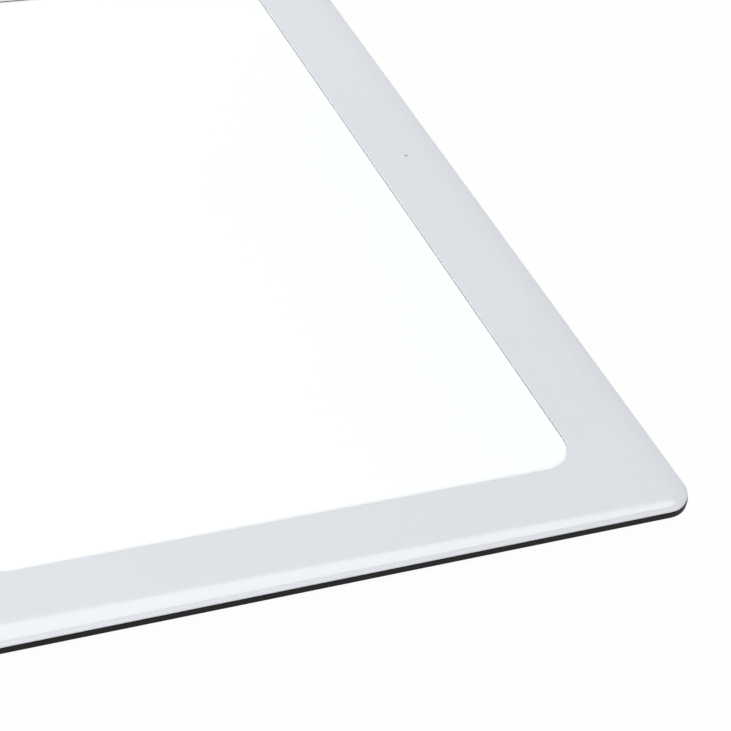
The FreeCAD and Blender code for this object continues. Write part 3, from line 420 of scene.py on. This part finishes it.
# %% A white table that keeps the shadow
bpy.ops.mesh.primitive_plane_add(size=12.0, location=(0, 2, -0.00001))
floor = bpy.context.active_object
floor.name = "table"
table = Finish("white_table")
table.colour(grey(0.92))
table.plain(roughness=1.0, specular_ior_level=0.0)
glow = table.node("ShaderNodeEmission", {}, {"Color": grey(1.0), "Strength": 1.0})
sources = {0: 0.96 * table.looked_at(), 1: table.shader.outputs[0], 2: glow.outputs[0]}
top_side = table.node("ShaderNodeMixShader", {}, sources).outputs[0]
clear = table.node("ShaderNodeBsdfTransparent", {}, {})
below = Value(table, table.node("ShaderNodeNewGeometry", {}, {}).outputs["Backfacing"])
surface = table.node("ShaderNodeMixShader", {}, {0: below, 1: top_side, 2: clear.outputs[0]}).outputs[0]
table.feed(table.existing("OUTPUT_MATERIAL").inputs["Surface"], surface)
floor.data.materials.append(table.material)

# %% [markdown]
# # Light
# A pale room lights everything evenly. It looks white to the camera and in reflections, but it
# lights the pad with only a share of that, so that the lamps can give shape. There are three soft
# lamps: a low one at the front left for the wall that faces the camera, one beyond the far left
# corner, and a wide panel beyond the pad whose lower edge is mirrored in the sloping rim.

# %% Soft studio light
FILL = 0.25
world = bpy.data.worlds.new("pale_room")
scene.world = world
world.use_nodes = True
room = Graph(world.node_tree)
sky = room.existing("BACKGROUND").inputs
room.feed(sky["Color"], (0.985, 0.992, 1.0, 1))
room.feed(sky["Strength"], FILL + (1.0 - FILL) * room.looked_at())


def soft_lamp(name, azimuth, elevation, distance, width, height, watts, tint=(1, 1, 1)):
    """A rectangular lamp that faces the pad; azimuth 0 is beyond the pad, 90 on its right."""
    around, up = math.radians(azimuth), math.radians(elevation)
    away = Vector((math.sin(around) * math.cos(up), math.cos(around) * math.cos(up), math.sin(up)))
    data = bpy.data.lights.new(name, "AREA")
    data.shape = "RECTANGLE"
    data.size, data.size_y, data.energy, data.color = width, height, watts, tint
    lamp = bpy.data.objects.new(name, data)
    lamp.location = away * distance
    lamp.rotation_euler = away.to_track_quat("Z", "Y").to_euler()
    scene.collection.objects.link(lamp)
    print("%-12s %4.0f W at azimuth %4.0f, elevation %3.0f" % (name, watts, azimuth, elevation))
    return lamp


soft_lamp("front_left", azimuth=-158, elevation=24, distance=1.5, width=1.2, height=0.6, watts=11.5)
soft_lamp("back_left", azimuth=-30, elevation=35, distance=1.5, width=0.8, height=0.6, watts=9.5)
soft_lamp("back_panel", azimuth=26, elevation=69.3, distance=3.0, width=2.8, height=1.2, watts=31)

# %% [markdown]
# # Camera
# The camera stands to the front left and looks down on the right end of the pad, rolled a little, so
# that the pad runs out of the left and top of the picture. It is placed from the pad's own corner:
# so far back along its line of sight, so far aside, so far up.

# %% Camera
look_azimuth, look_elevation, roll = math.radians(31.02), math.radians(39.17), math.radians(11.59)
unit = 0.0325
aside, above, back = 3.447 * unit, -1.392 * unit, 23.553 * unit
sight = Vector((
    math.sin(look_azimuth) * math.cos(look_elevation),
    math.cos(look_azimuth) * math.cos(look_elevation),
    -math.sin(look_elevation),
))
level_right = Vector((math.cos(look_azimuth), -math.sin(look_azimuth), 0))
level_up = level_right.cross(sight)
right = math.cos(roll) * level_right + math.sin(roll) * level_up
up = math.cos(roll) * level_up - math.sin(roll) * level_right
corner = Vector((pad_high.x, pad_low.y, pad_high.z))
camera_data = bpy.data.cameras.new("camera")
camera_data.sensor_width = 36.0
camera_data.lens = 113.0
camera_data.clip_start, camera_data.clip_end = 0.05, 50.0
camera = bpy.data.objects.new("camera", camera_data)
camera.matrix_world = Matrix((
    (right.x, up.x, -sight.x, 0),
    (right.y, up.y, -sight.y, 0),
    (right.z, up.z, -sight.z, 0),
    (0, 0, 0, 1),
))
camera.location = corner - aside * right - above * up - back * sight
scene.collection.objects.link(camera)
scene.camera = camera
print("camera at", [round(c, 4) for c in camera.location], "lens %.1f mm" % camera_data.lens)

# %% Set the view transform
scene.view_settings.view_transform = "Standard"
